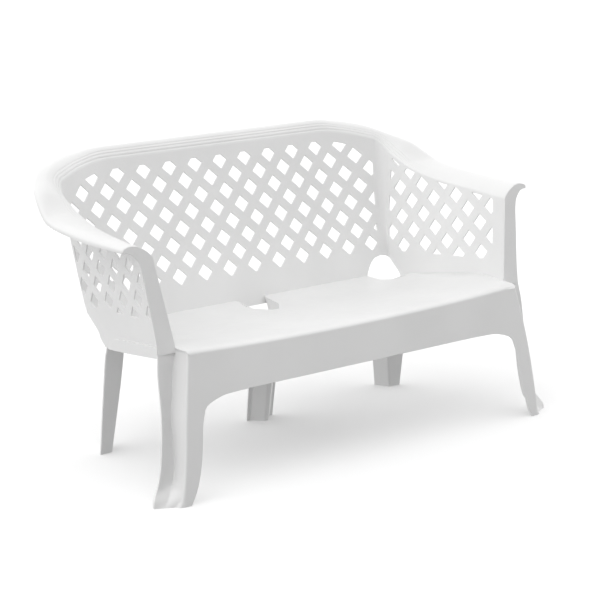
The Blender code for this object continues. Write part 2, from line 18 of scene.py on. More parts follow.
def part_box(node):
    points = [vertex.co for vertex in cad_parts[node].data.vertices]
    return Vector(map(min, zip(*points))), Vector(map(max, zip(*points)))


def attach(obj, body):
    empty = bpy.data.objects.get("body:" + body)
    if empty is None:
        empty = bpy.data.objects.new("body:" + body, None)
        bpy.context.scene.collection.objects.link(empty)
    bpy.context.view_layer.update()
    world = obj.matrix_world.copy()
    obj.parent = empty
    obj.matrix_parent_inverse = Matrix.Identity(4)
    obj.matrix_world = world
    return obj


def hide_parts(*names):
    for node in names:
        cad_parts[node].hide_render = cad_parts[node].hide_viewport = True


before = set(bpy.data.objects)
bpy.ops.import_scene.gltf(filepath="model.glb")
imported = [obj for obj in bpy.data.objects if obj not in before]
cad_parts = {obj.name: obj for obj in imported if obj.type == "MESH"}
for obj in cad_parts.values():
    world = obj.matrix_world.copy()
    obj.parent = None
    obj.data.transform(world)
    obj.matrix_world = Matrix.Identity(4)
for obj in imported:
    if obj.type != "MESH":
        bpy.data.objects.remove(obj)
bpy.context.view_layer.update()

# ---- driving dimensions -------------------------------------------------------------------------
HALF_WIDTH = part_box("arm_rim_right")[1].x
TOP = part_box("back_rim")[1].z
ORIGIN_Y = 0.3108  # middle of the depth, measured from the seat's front edge
WALL = 0.0045  # moulded wall thickness

SEAT_FRONT = 0.374  # height of the seat's front corners
SEAT_HALF = 0.5665  # half width of the seat at its front edge
NOSE = 0.009  # rounding of the seat's front edge
ROLL = NOSE * math.pi / 2  # length of skin in that rounding
BACK_FOOT = (0.468, 0.339)  # y and z where the back wall meets the seat
BACK_LEAN = 0.3557  # backward run per metre of height
FRONT_SWEEP = 0.050  # how far the front toes stand forward of the seat edge

LATTICE_PITCH = (0.0433, 0.0404)  # half spacing of the back's diamond holes, across and up
LATTICE_OPEN = 0.56  # hole size as a share of the spacing
LATTICE_ZERO = 0.5444  # height of the back lattice's middle row
ARM_ZERO = (0.3682, 0.5187)  # y and z of the arm lattice's middle hole
ARM_ALONG = (-0.0395, 0.0090)  # arm lattice step towards the front
ARM_DOWN = (-0.0096, -0.0408)  # arm lattice step downwards

EDGE = 0.0011  # rounding of the skin's free edges
HOLE_CORNER = 0.0018  # rounding of the diamonds' corners, seen face on
GROOVES = (0.0110, 0.0212, 0.0300)  # the fine lines round the rim, measured up from the wall
GROOVE_DEPTH, GROOVE_HALF = 0.0012, 0.0021
GROOVE_FADE = [(0, 1.0), (3.0, 1.0), (5.0, 1.6), (5.8, 1.5), (7.0, 0.0)]  # share of that depth, by station
INTO = 0.001  # how far one skin runs into another where they meet at an angle
HANDLE = 0.55  # reach of a rounding's cubic handles, as a share of its size

SMALL = 1e-4  # step along a surface that gives its directions
NEAR = 1e-7  # lengths below this count as none


# ---- small tools --------------------------------------------------------------------------------
def smooth(table, t):
    """Value at t on the monotone curve through the table's (t, value) rows, held beyond its ends."""
    if t <= table[0][0]:
        return table[0][1]
    if t >= table[-1][0]:
        return table[-1][1]
    rise = [(b[1] - a[1]) / (b[0] - a[0]) for a, b in zip(table, table[1:])]
    slopes = [rise[0]]
    for before, after in zip(rise, rise[1:]):
        slopes.append(2 * before * after / (before + after) if before * after > 0 else 0.0)
    slopes.append(rise[-1])
    i = max(k for k in range(len(rise)) if table[k][0] <= t)
    (t0, v0), (t1, v1) = table[i], table[i + 1]
    span = t1 - t0
    s = (t - t0) / span
    low = v0 * (1 + 2 * s) * (1 - s) ** 2 + span * slopes[i] * s * (1 - s) ** 2
    return low + v1 * s * s * (3 - 2 * s) - span * slopes[i + 1] * s * s * (1 - s)


def beyond(shape, a, b, out):
    """Point at (a, b) on a surface, moved out along its normal."""
    along = shape(a + SMALL, b) - shape(a - SMALL, b)
    up = shape(a, b + SMALL) - shape(a, b - SMALL)
    return shape(a, b) + along.cross(up).normalized() * out


def clipped(outline, limits):
    """The convex outline cut back to where m*x + n*y <= c for each limit (m, n, c)."""
    for m, n, c in limits:
        kept = []
        for p, q in zip(outline, outline[1:] + outline[:1]):
            over_p = m * p[0] + n * p[1] - c
            over_q = m * q[0] + n * q[1] - c
            if over_p <= 0:
                kept.append(p)
            if over_p * over_q < 0:
                s = over_p / (over_p - over_q)
                kept.append((p[0] + (q[0] - p[0]) * s, p[1] + (q[1] - p[1]) * s))
        outline = kept
    return outline


def area(outline):
    """The area inside a closed outline of (x, y) points."""
    pairs = zip(outline, outline[1:] + outline[:1])
    return abs(sum(p[0] * q[1] - q[0] * p[1] for p, q in pairs)) / 2


# ---- the surfaces the sheets lie on -------------------------------------------------------------
DECK_MIDDLE = [(0.0, 0.361), (0.1, 0.3515), (0.2, 0.341), (0.3, 0.3305), (0.36, 0.3262),
               (0.42, 0.328), (0.468, 0.337)]
DECK_SIDE = [(0.0, 0.374), (0.05, 0.376), (0.1, 0.382), (0.15, 0.383), (0.224, 0.371),
             (0.309, 0.358), (0.38, 0.346), (0.45, 0.339)]
DECK_POWER = [(0.0, 2.0), (0.15, 6.0), (0.30, 10.0)]  # how flat the dish's middle is, by y
DECK_WALL = 0.046  # y at which the seat's side edge passes from the leg to the arm wall
DECK_SPLAY = 0.09  # outward run of that edge in front of it, per metre of y

POST_X = (0.5069, 0.1628)  # inner edge of the arm front: x at the floor, and its run per metre up
POST_Y = (-0.0173, 0.1709)  # face of the arm front: y at the floor, and its run per metre up
REAR_X = (0.531, 0.13)  # the arm wall at its rear: x at REAR_Z, and its run per metre up
REAR_Y, REAR_Z = 0.5, 0.40
CURL = 0.0909  # how fast the back's ends curl forward
CURL_X, CURL_SPAN, CURL_Z = 0.35, 0.17, 0.40  # where the curl starts in x, its span, and where in z
BACK_SETBACK = [(0.33, 0.018), (0.40, 0.028), (0.56, 0.028), (0.70, 0.022)]  # back wall to corner, by z
SIDE_SETBACK = [(0.33, 0.005), (0.40, 0.006), (0.70, 0.031)]  # arm wall to corner, by z


def front_y(z):
    """The front face of the apron and front legs, sweeping forward towards the floor."""
    return -FRONT_SWEEP * (1 - (max(z, 0) / SEAT_FRONT) ** 1.5)


def post_x(z):
    return POST_X[0] + POST_X[1] * z


def post_y(z):
    return POST_Y[0] + POST_Y[1] * z


def side_x(y, z):
    """Inner face of the arm wall: straight runs from the arm front to the rear corner."""
    front, rear = post_x(z), REAR_X[0] + REAR_X[1] * (z - REAR_Z)
    return front + (rear - front) * (y - post_y(z)) / (REAR_Y - post_y(z))


def back_y(x, z):
    """Inner face of the back wall: a leaning plane whose ends curl forward towards the top."""
    curl = CURL * max(z - CURL_Z, 0) * (max(abs(x) - CURL_X, 0) / CURL_SPAN) ** 2
    return BACK_FOOT[0] + BACK_LEAN * (z - BACK_FOOT[1]) - curl


def corner(z):
    """Where the back and arm walls would cross at height z."""
    x, y = 0.54, 0.5  # a first guess, which each pass brings closer
    for _ in range(8):
        y = back_y(x, z)
        x = side_x(y, z)
    return x, y


def back_end(z):
    """x at which the back wall gives way to the corner column."""
    return corner(z)[0] - smooth(BACK_SETBACK, z)


def side_end(z):
    """y at which the corner column gives way to the arm wall."""
    return corner(z)[1] - smooth(SIDE_SETBACK, z)


def back_wall(x, z):
    return Vector((x, back_y(x, z), z))


def side_wall(y, z):
    return Vector((side_x(y, z), y, z))


def corner_wall(t, z):
    """Inner face of the corner column, t from 0 at the back wall to 1 at the arm wall."""
    x0, y2 = back_end(z), side_end(z)
    start = Vector((x0, back_y(x0, z), z))
    end = Vector((side_x(y2, z), y2, z))
    middle = Vector((*corner(z), z))
    return start * (1 - t) ** 2 + middle * 2 * t * (1 - t) + end * t * t


def deck_edge(y):
    """x of the seat's side edge: over the leg's side face in front, at the arm wall behind it."""
    if y < DECK_WALL:
        return SEAT_HALF + DECK_SPLAY * y
    return side_x(y, smooth(DECK_SIDE, y))


def deck_z(x, y):
    """Top of the seat: dished between the front edge, the back wall and the arm walls."""
    middle, side = smooth(DECK_MIDDLE, y), smooth(DECK_SIDE, y)
    power = smooth(DECK_POWER, y)
    return middle + (side - middle) * min(abs(x) / deck_edge(y), 1.0) ** power


def deck(x, s):
    """The seat surface; below s = 0 it rolls over the front edge, s being length along the skin."""
    if s >= 0:
        return Vector((x, NOSE + s, deck_z(x, NOSE + s)))
    t = min(-s / ROLL, 1.0)
    top = deck_z(x, NOSE)
    low = top - NOSE
    start, end = Vector((x, NOSE, top)), Vector((x, front_y(low), low))
    over = Vector((0, -1, deck_z(x, NOSE - 0.001) * 1000 - top * 1000)).normalized()
    down = Vector((0, (front_y(low - 0.001) - front_y(low)) * 1000, -1)).normalized()
    one, two = start + over * HANDLE * NOSE, end - down * HANDLE * NOSE
    return start * (1 - t) ** 3 + one * 3 * t * (1 - t) ** 2 + two * 3 * t * t * (1 - t) + end * t ** 3


def front_face(x, z):
    return Vector((x, front_y(z), z))


def post_face(x, z):
    return Vector((x, post_y(z), z))


# ---- skins --------------------------------------------------------------------------------------
FREE, JOINED, FRONT = (EDGE, EDGE), (0.0, 0.0), (EDGE, 0.0)  # rounding on the near and far face
TURN = [0.0, math.pi / 4, math.pi / 2]
EDGE_STEP = 0.03  # longest stretch of an outline between two points
CORNER_SHARE = 0.45  # the most of an edge that the rounding of one corner takes
STRAIGHT = 0.08  # a corner that turns less than this, as a sine, counts as straight
MITRE = 2.5  # the most that a corner's inset may be, in edge roundings
GRID_PLACE = (0.47, 0.53)  # how far the inner points lie back in the grid's cells, as shares of them
INSIDE = 1  # the triangulation keeps what lies inside the outline


def piece(name, nodes, points, normals, faces, mirror=False):
    """Makes the finished object, and its mirror image if asked, standing for the CAD nodes."""
    for side, sign in [("_right", 1), ("_left", -1)] if mirror else [("", 1)]:
        mesh = bpy.data.meshes.new(name + side)
        places = [(sign * p.x, p.y - ORIGIN_Y, max(p.z, 0.0)) for p in points]
        mesh.from_pydata(places, [], [face[::sign] for face in faces])
        mesh.polygons.foreach_set("use_smooth", [True] * len(mesh.polygons))
        mesh.normals_split_custom_set_from_vertices([(sign * n.x, n.y, n.z) for n in normals])
        mesh.materials.append(plastic)
        made = bpy.data.objects.new(f"{name}{side}_skin", mesh)
        bpy.context.scene.collection.objects.link(made)
        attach(made, "root")
        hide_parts(*[node + side for node in nodes])


def curved(line, rounds=2):
    """The open line with its corners cut again and again, its two ends kept."""
    for _ in range(rounds):
        cut = [line[0]]
        for p, q in zip(line, line[1:]):
            cut.append(tuple(a * 0.75 + b * 0.25 for a, b in zip(p, q)))
            cut.append(tuple(a * 0.25 + b * 0.75 for a, b in zip(p, q)))
        line = cut + [line[-1]]
    return line


def rounded(ring, reaches, count=3):
    """(point, direction of run) along the closed ring, each corner turned through a short arc."""
    found = []
    for k, at in enumerate(ring):
        before, after = ring[k - 1] - at, ring[(k + 1) % len(ring)] - at
        reach = min(reaches[k], CORNER_SHARE * before.length, CORNER_SHARE * after.length)
        p, q = at + before.normalized() * reach, at + after.normalized() * reach
        for i in range(count + 1):
            t = i / count
            point = p * (1 - t) ** 2 + at * 2 * t * (1 - t) + q * t * t
            found.append((point, ((at - p) * (1 - t) + (q - at) * t).normalized()))
    return found


def kinds(line, kind):
    """The points of an outline's stretch, each marked with how the edge after it is finished."""
    return [(a, b, kind) for a, b in line]


def turned(ring, way):
    """The ring of marked points running anticlockwise for way 1, clockwise for way -1."""
    total = sum(p[0] * q[1] - q[0] * p[1] for p, q in zip(ring, ring[1:] + ring[:1]))
    if total * way > 0:
        return ring
    back = ring[::-1]
    return [(p[0], p[1], q[2]) for p, q in zip(back, back[1:] + back[:1])]


def divided(ring, step):
    """The ring with its long edges cut into equal lengths."""
    found = []
    for p, q in zip(ring, ring[1:] + ring[:1]):
        count = max(1, math.ceil(math.hypot(q[0] - p[0], q[1] - p[1]) / step))
        for k in range(count):
            t = k / count
            found.append((p[0] + (q[0] - p[0]) * t, p[1] + (q[1] - p[1]) * t, p[2]))
    return found


def insets(ring, face):
    """For each corner, the step into the material that clears both its edges' rounding."""
    found = []
    for k, at in enumerate(ring):
        last, after = ring[k - 1], ring[(k + 1) % len(ring)]
        d0 = Vector((at[0] - last[0], at[1] - last[1])).normalized()
        d1 = Vector((after[0] - at[0], after[1] - at[1])).normalized()
        n0, n1 = Vector((-d0.y, d0.x)), Vector((-d1.y, d1.x))
        r0, r1 = last[2][face], at[2][face]
        cross = n0.x * n1.y - n0.y * n1.x
        if abs(cross) > STRAIGHT:
            step = Vector(((r0 * n1.y - r1 * n0.y) / cross, (r1 * n0.x - r0 * n1.x) / cross))
        else:
            step = (n0 + n1).normalized() * (r0 + r1) / 2
        if step.length > MITRE * EDGE:
            step = step.normalized() * MITRE * EDGE
        found.append((step, -(n0 + n1).normalized()))
    return found


def fill(rings, grid):
    """Inner points on a grid, and the triangles that join them and the rings; the first ring is
    the outline and the others are holes."""
    points, loops = [], []
    for ring in rings:
        loops.append(list(range(len(points), len(points) + len(ring))))
        points += ring
    inner = []
    low = [min(p[i] for p in rings[0]) for i in (0, 1)]
    high = [max(p[i] for p in rings[0]) for i in (0, 1)]
    for i in range(1, int((high[0] - low[0]) / grid[0]) + 1):
        for k in range(1, int((high[1] - low[1]) / grid[1]) + 1):
            place = (low[0] + (i - GRID_PLACE[0]) * grid[0], low[1] + (k - GRID_PLACE[1]) * grid[1])
            inner.append(Vector(place))
    loops = [loops[0]] + [loop[::-1] for loop in loops[1:]]
    made = delaunay_2d_cdt(points + inner, [], loops, INSIDE, NEAR)
    triangles = []
    for face, origins in zip(made[2], made[5]):
        if list(origins) == [0]:
            triangles.append([made[3][k][0] for k in face])
    return inner, triangles


def sheet(name, nodes, outline, holes, shape, near, far, grid, mirror=False):
    """A skin laid over a surface between two depths, with holes and rounded free edges."""
    sign = 1 if near > far else -1
    rings = [turned(divided(outline, EDGE_STEP), 1)]
    for hole in holes:
        corners = rounded([Vector(p) for p in hole], [HOLE_CORNER] * len(hole))
        rings.append(turned([(p.x, p.y, FREE) for p, _ in corners], -1))
    points, normals, faces = [], [], []

    def add(a, b, depth, flat, square):
        along = (shape(a + SMALL, b) - shape(a - SMALL, b)).normalized()
        up = (shape(a, b + SMALL) - shape(a, b - SMALL)).normalized()
        out = along.cross(up).normalized()
        points.append(shape(a, b) + out * depth)
        normals.append((along * flat[0] + up * flat[1] + out * square).normalized())
        return len(points) - 1

    rows = [[] for _ in rings]
    flats = []
    for face, depth, way in ((0, near, -sign), (1, far, sign)):
        steps = [insets(ring, face) for ring in rings]
        edges = [[Vector(p[:2]) + s for p, (s, _) in zip(r, step)] for r, step in zip(rings, steps)]
        if face == 0:
            inner, triangles = fill(edges, grid)
        flat = []
        for turn in TURN if face == 0 else TURN[::-1]:
            for r, (ring, step) in enumerate(zip(rings, steps)):
                row = []
                for p, (inset, outward) in zip(ring, step):
                    at = Vector(p[:2]) + inset * (1 - math.sin(turn))
                    deep = depth + way * EDGE * (1 - math.cos(turn))
                    row.append(add(at.x, at.y, deep, outward * math.sin(turn), -way * math.cos(turn)))
                rows[r].append(row)
                if turn == 0.0:
                    flat += row
        flat += [add(p.x, p.y, depth, (0, 0), -way) for p in inner]
        flats.append(flat)
    for triangle in triangles:
        faces.append([flats[0][k] for k in triangle][::sign])
        faces.append([flats[1][k] for k in triangle][::-sign])
    for strip in rows:
        for upper, lower in zip(strip, strip[1:]):
            for k in range(len(upper)):
                m = (k + 1) % len(upper)
                faces.append([upper[k], lower[k], lower[m], upper[m]][::sign])
    piece(name, nodes, points, normals, faces, mirror)


def loft(name, nodes, rings, mirror=False):
    """A closed skin through rings of (point, direction of run), capped flat at both ends."""
    points, normals, faces = [], [], []
    count = len(rings[0])
    for r, ring in enumerate(rings):
        below, above = rings[max(r - 1, 0)], rings[min(r + 1, len(rings) - 1)]
        for k, (point, run) in enumerate(ring):
            points.append(point)
            normals.append(run.cross(above[k][0] - below[k][0]).normalized())
    for r in range(len(rings) - 1):
        for k in range(count):
            a, b = r * count + k, r * count + (k + 1) % count
            faces.append([a, b, b + count, a + count])
    for ring, facing in ((rings[0], -1), (rings[-1], 1)):
        first = len(points)
        points += [point for point, _ in ring]
        normals += [Vector((0, 0, facing))] * count
        faces.append(list(range(first, first + count))[::facing])
    piece(name, nodes, points, normals, faces, mirror)


def thickened(line, thick):
    """A closed ring from an open line of (x, y, z): the line, and the line moved left of its run."""
    back = []
    for k, point in enumerate(line):
        before = Vector(line[max(k - 1, 0)])
        after = Vector(line[min(k + 1, len(line) - 1)])
        here = Vector(point)
        runs = [r.xy.normalized() for r in (here - before, after - here) if r.xy.length > NEAR]
        run = sum(runs, Vector((0, 0))).normalized()
        mitre = thick / max(run.dot(runs[0]), 0.5)
        back.append(Vector((here.x - run.y * mitre, here.y + run.x * mitre, here.z)))
    return [Vector(p) for p in line] + back[::-1]


# ---- the rim: where it starts on the wall, its crest and its outer edge -------------------------
# Stations 0 to 3 lie along the back, 3 to 5 round the corner and 5 to 9 along the arm.
START_X = [(0, 0.0), (1, 0.36), (2, 0.455)]
START_Y = [(6, 0.455), (7, 0.37), (8, 0.225), (9, 0.0905)]
START_Z = [(0, 0.742), (1, 0.742), (2, 0.7335), (3, 0.712), (4, 0.695), (5, 0.674), (6, 0.648),
           (7, 0.625), (8, 0.6095), (9, 0.5965)]
CREST = [(0, 0.645, TOP), (0.36, 0.645, TOP), (0.455, 0.6435, 0.767), (0.555, 0.607, 0.745),
         (0.5985, 0.5615, 0.7225), (0.628, 0.511, 0.7030), (0.653, 0.434, 0.6565),
         (0.660, 0.36, 0.6440), (0.662, 0.225, 0.637), (0.663, 0.0915, 0.6335)]
OUTER = [(0, 0.6715, 0.760), (0.36, 0.6715, 0.760), (0.46, 0.6705, 0.752), (0.563, 0.635, 0.737),
         (0.620, 0.580, 0.7155), (0.658, 0.516, 0.685), (0.685, 0.425, 0.642),
         (HALF_WIDTH, 0.36, 0.633), (HALF_WIDTH, 0.225, 0.6225), (HALF_WIDTH, 0.096, 0.6235)]
LIP = 0.006  # how far the rim's outer edge hangs down
RIM_END = 9  # the last station
RIM_CUTS = 16  # sections for each station
STEPS = [k / RIM_CUTS for k in range(RIM_END * RIM_CUTS + 1)]
TO_CREST, TO_LIP = 44, 12  # points across the rim, up to its crest and from there to its lip
UNDER_STRIDE = 4  # the underside follows one in so many of them
LIP_CUTS = 6  # steps round the lip
LEAVE, ARRIVE = 0.3, 0.45  # handles where the rim leaves the wall, by its rise, and at the crest


def through(points, u):
    """The point at station u on the smooth curve through one point for each station."""
    return Vector([smooth([(k, p[i]) for k, p in enumerate(points)], u) for i in range(3)])


def rim_wall(u):
    """The wall under station u of the rim."""
    return back_wall if u <= 3 else corner_wall if u <= 5 else side_wall


def rim_place(u, wall):
    """Position of station u on that wall: x on the back, 0 to 1 on the corner, y on the arm."""
    if wall == back_wall:
        return smooth(START_X + [(3, back_end(START_Z[3][1]))], u)
    if wall == corner_wall:
        return (u - 3) / 2
    return smooth([(5, side_end(START_Z[5][1]))] + START_Y, u)


def arc(p, q, r, s, count):
    """Points of the cubic from p to s, without p itself."""
    found = []
    for k in range(1, count + 1):
        t = k / count
        point = p * (1 - t) ** 3 + q * 3 * t * (1 - t) ** 2 + r * 3 * t * t * (1 - t) + s * t ** 3
        found.append(point)
    return found


def rim_line(u):
    """The upper skin across the rim at station u, from the wall over the crest to the lip."""
    wall = rim_wall(u)
    place, height = rim_place(u, wall), smooth(START_Z, u)
    start, crest, outer = wall(place, height), through(CREST, u), through(OUTER, u)
    up = (wall(place, height + SMALL) - start).normalized()
    leave = start + up * LEAVE * (crest.z - start.z) / up.z
    away = Vector((crest.x - start.x, crest.y - start.y, 0))
    line = [start] + arc(start, leave, crest - away * ARRIVE, crest, TO_CREST)
    over = Vector((outer.x - crest.x, outer.y - crest.y, 0))
    drop = Vector((0, 0, outer.z - crest.z))
    return line + arc(crest, crest + over * HANDLE, outer - drop * HANDLE, outer, TO_LIP)


def grooved(line, fade):
    """The line with the fine grooves pressed in, and the direction out of the skin at each point."""
    away = (line[-1] - line[0]).xy.normalized()
    found, outs, length = [], [], 0.0
    for k, point in enumerate(line):
        run = (line[min(k + 1, len(line) - 1)] - line[max(k - 1, 0)]).normalized()
        flat = run.x * away.x + run.y * away.y
        out = Vector((-away.x * run.z, -away.y * run.z, flat)).normalized()
        length += (point - line[max(k - 1, 0)]).length
        press = sum(math.exp(-(((length - at) / GROOVE_HALF) ** 2)) for at in GROOVES)
        found.append(point - out * GROOVE_DEPTH * fade * press)
        outs.append(out)
    return found, outs


def rim_ring(u):
    """The rim's closed section: its upper skin, a round lip, and its underside."""
    line = rim_line(u)
    upper, outs = grooved(line, smooth(GROOVE_FADE, u))
    under = [p - out * WALL for p, out in zip(line, outs)][::-UNDER_STRIDE]
    wall = rim_wall(u)
    under[-1] = beyond(wall, rim_place(u, wall), smooth(START_Z, u), WALL if wall == side_wall else -WALL)
    inward = -outs[-1].normalized()
    lip = []
    for k in range(LIP_CUTS + 1):
        turn = math.pi * k / LIP_CUTS
        round_off = inward * WALL / 2 * (1 - math.cos(turn))
        lip.append(upper[-1] + Vector((0, 0, -LIP + WALL / 2 - WALL / 2 * math.sin(turn))) + round_off)
    ring = upper + lip + under[1:]
    if u == RIM_END:
        for point in ring:
            point.y = post_y(point.z) + WALL - INTO
    return ring


def flip(v):
    return Vector((-v.x, v.y, v.z))


def build_rims():
    """The three rim regions, cut from one run of sections that share their shading at the seams."""
    rings = {u: rim_ring(u) for u in STEPS}
    flipped = [flip(p) for p in rings[STEPS[1]]]
    count = len(flipped)
    shading = {}
    for i, u in enumerate(STEPS):
        before = rings[STEPS[i - 1]] if i else flipped
        after = rings[STEPS[min(i + 1, len(STEPS) - 1)]]
        row = []
        for k in range(count):
            across = rings[u][min(k + 1, count - 1)] - rings[u][max(k - 1, 0)]
            row.append((after[k] - before[k]).cross(across).normalized())
        shading[u] = row
    half = [(rings[u], shading[u]) for u in STEPS if u <= 1]
    other = [([flip(p) for p in ring], [flip(n) for n in row]) for ring, row in half[:0:-1]]
    rim_piece("back_rim", other + half)
    for name, first, last in (("corner_rim", 1, 6), ("arm_rim", 6, RIM_END)):
        rim_piece(name, [(rings[u], shading[u]) for u in STEPS if first <= u <= last], mirror=True)


def rim_piece(name, rows, mirror=False):
    """The closed skin through rows of (ring, normals), capped at both ends."""
    points = [p for ring, _ in rows for p in ring]
    normals = [n for _, row in rows for n in row]
    count = len(rows[0][0])
    faces = []
    for r in range(len(rows) - 1):
        for k in range(count):
            a, b = r * count + k, r * count + (k + 1) % count
            faces.append([a, a + count, b + count, b])
    last = (len(rows) - 1) * count
    faces.append(list(range(count)))
    faces.append(list(range(last, last + count))[::-1])
    piece(name, [name], points, normals, faces, mirror)


# ---- walls --------------------------------------------------------------------------------------
ARCH_BACK = [(0.430, 0.316), (0.433, 0.331), (0.447, 0.356), (0.473, 0.381)]
ARCH_TOP = [(0.0, 0.386), (0.5, 0.383), (1.0, 0.3735)]
ARCH_SIDE = [(0.4735, 0.3715), (0.454, 0.356), (0.430, 0.337), (0.424, 0.3185)]
SMALLEST = 0.08  # a cut-off hole with less than this share of a whole one is left out
END_LIFT = 0.004  # lift of the back's endmost holes for each column past the tenth, two rows up
ARM_BORDER = 0.043  # plain strip between the arm's front and its lattice
SEAM_LOW, SEAM_STEP, SEAM_COUNT = 0.398, 0.0145, 22  # the heights that two walls' seams share
SEAM_ENDS = 0.006  # clear length at both ends of a seam


def diamond(middle, across, up, size):
    """A diamond round its middle, reaching the share size of the steps across and up."""
    (cx, cy), (ax, ay), (ux, uy) = middle, across, up
    corners = [(1, 0), (0, 1), (-1, 0), (0, -1)]
    return [(cx + size * (i * ax + k * ux), cy + size * (i * ay + k * uy)) for i, k in corners]


def line_limit(p, q):
    """The half plane to the left of the run from p to q."""
    m, n = q[1] - p[1], p[0] - q[0]
    return m, n, m * p[0] + n * p[1]


def lattice(centres, across, up, limits):
    """A diamond hole on each centre, cut off at the limits."""
    whole = area(diamond((0, 0), across, up, LATTICE_OPEN))
    found = []
    for middle in centres:
        hole = clipped(diamond(middle, across, up, LATTICE_OPEN), limits)
        if len(hole) > 2 and area(hole) > SMALLEST * whole:
            found.append(hole)
    return found


def back_holes():
    """Rows of diamonds on the back, cut off along the lattice's straight border."""
    dx, dz = LATTICE_PITCH
    right = [(0.500, 0.403), (0.5305, 0.653), (0.5365, 0.70)]
    top = [(0.520, 0.680), (0.476, 0.700), (0.433, 0.712), (0.390, 0.7206), (-0.390, 0.7206)]
    limits = [line_limit((-0.5, 0.403), (0.5, 0.403)), line_limit(right[0], right[1])]
    limits += [line_limit(p, q) for p, q in zip(top, top[1:])]
    flipped = [(-m, n, c) for m, n, c in limits]
    centres = []
    for row in range(-4, 4):
        for column in range(-12, 13):
            if (row + column) % 2 == 0:
                lift = END_LIFT * max(abs(column) - 10, 0) * max(-row, 0) / 2
                centres.append((column * dx, LATTICE_ZERO - row * dz + lift))
    return lattice(centres, (dx, 0), (0, dz), limits + flipped)


def arm_holes():
    """The same diamonds on the arm wall, leaning with it, in (y, z)."""
    top = [(0.516, 0.6665), (0.480, 0.6475), (0.417, 0.6310), (0.366, 0.6185), (0.130, 0.5935)]
    rear = [(0.482, 0.400), (0.4985, 0.500), (0.510, 0.660)]
    limits = [line_limit((0.130, 0.4257), (0.478, 0.3976))]
    limits += [line_limit(rear[0], rear[1]), line_limit(rear[1], rear[2])]
    limits.append(line_limit((post_y(0.6) + ARM_BORDER, 0.6), (post_y(0.4) + ARM_BORDER, 0.4)))
    centres = []
    for row in range(-4, 4):
        for column in range(-5, 8):
            if (row + column) % 2 == 0:
                y = ARM_ZERO[0] + ARM_ALONG[0] * column + ARM_DOWN[0] * row
                z = ARM_ZERO[1] + ARM_ALONG[1] * column + ARM_DOWN[1] * row
                centres.append((y, z))
    found = []
    for middle in centres:
        above = [(p, q) for p, q in zip(top, top[1:]) if q[0] <= middle[0] <= p[0]]
        if not above:
            above = [top[:2] if middle[0] > top[0][0] else top[-2:]]
        ceiling = [line_limit(p, q) for p, q in above]
        found += lattice([middle], ARM_ALONG, ARM_DOWN, limits + ceiling)
    return found


def seam(first, last, wall):
    """(place, height) along the rim's start between two stations."""
    return [(rim_place(u, wall), smooth(START_Z, u)) for u in STEPS if first <= u <= last]


def seam_heights(top, low):
    """Shared heights down a seam between two walls."""
    shared = [SEAM_LOW + SEAM_STEP * k for k in range(SEAM_COUNT)]
    return [top] + [z for z in shared[::-1] if low + SEAM_ENDS < z < top - SEAM_ENDS] + [low]


def doubled(half):
    """The closed outline whose right half is given, starting on the middle line."""
    count = len(half)
    return half + [(-half[k][0], half[k][1], half[k - 1][2]) for k in range(count - 1, 0, -1)]


def build_back():
    """The back wall with its lattice, its foot arching up beside the corner column."""
    ends = [(back_end(z), z) for z in seam_heights(START_Z[3][1], ARCH_TOP[0][1])]
    arch = curved([ends[-1]] + ARCH_BACK[::-1])
    half = kinds(seam(0, 3, back_wall)[:-1] + ends[:-1], JOINED)
    half += kinds(arch[:-1], FREE) + kinds(arch[-1:], JOINED)
    sheet("back_panel", ["back_panel"], doubled(half), back_holes(), back_wall, 0, -WALL, (0.03, 0.03))


def build_corner():
    """The plain column between the two lattices, its foot the top of the arch over the rear leg."""
    outline = kinds(seam(3, 5, corner_wall)[:-1], JOINED)
    outline += kinds([(1.0, z) for z in seam_heights(START_Z[5][1], ARCH_TOP[-1][1])[:-1]], JOINED)
    outline += kinds(curved(ARCH_TOP[::-1])[:-1], FREE)
    outline += kinds([(0.0, z) for z in seam_heights(START_Z[3][1], ARCH_TOP[0][1])[:0:-1]], JOINED)
    sheet("corner_panel", ["corner_panel"], outline, [], corner_wall, 0, -WALL, (0.12, 0.02), mirror=True)


def groove_z(y):
    """The shadow line outside the arm, above the side skirt."""
    return 0.3738 - 0.1027 * y


def build_arm():
    """The arm wall with its lattice; its heel turns up into the arch beside the rear leg."""
    ends = [(side_end(z), z) for z in seam_heights(START_Z[5][1], ARCH_TOP[-1][1])]
    front = [(post_y(z) + WALL - INTO, z) for z in (0.5965, 0.55, 0.50, 0.45, 0.40, 0.3645)]
    low = [(0.0585, 0.3645)] + [(y, groove_z(y) - 0.010) for y in (0.0585, 0.12, 0.22, 0.32)]
    tail = [(0.366, 0.304), (0.376, 0.2985)]
    heel = curved([(0.376, 0.2985), (0.402, 0.2965), (0.413, 0.3065), ARCH_SIDE[-1]])
    arch = curved([ends[-1]] + ARCH_SIDE[1:])
    outline = kinds(seam(5, 9, side_wall)[:-1] + front + low + tail[:1], JOINED)
    outline += kinds(heel[:-1], FREE) + kinds(arch[:0:-1], FREE) + kinds(ends[:0:-1], JOINED)
    sheet("arm_panel", ["arm_panel"], outline, arm_holes(), side_wall, 0, WALL, (0.03, 0.03), mirror=True)


# ---- seat and skirts ----------------------------------------------------------------------------
APRON_END = 0.535  # where the apron gives way to the front leg
WEB_LOW = 0.2255  # lowest point of the seam between them
APRON_FOOT = [(0.386, 0.2559), (0.4637, 0.2535), (0.499, 0.2459), (0.526, 0.2350), (APRON_END, WEB_LOW)]
NOTCH_TURN = 0.004  # rounding of a rear leg's folds and of the seat's cut round it
LEG_EDGE = 0.0012  # rounding of a rear leg's free edges
SIDE_TOP = [(0.4325, 0.4595), (0.4465, 0.4255), (0.4705, 0.4005), (0.5255, 0.3885)]
CENTRE_TOP = [(-0.0499, 0.4605), (-0.0499, 0.4520), (-0.0499, 0.3960), (-0.0140, 0.3500)]


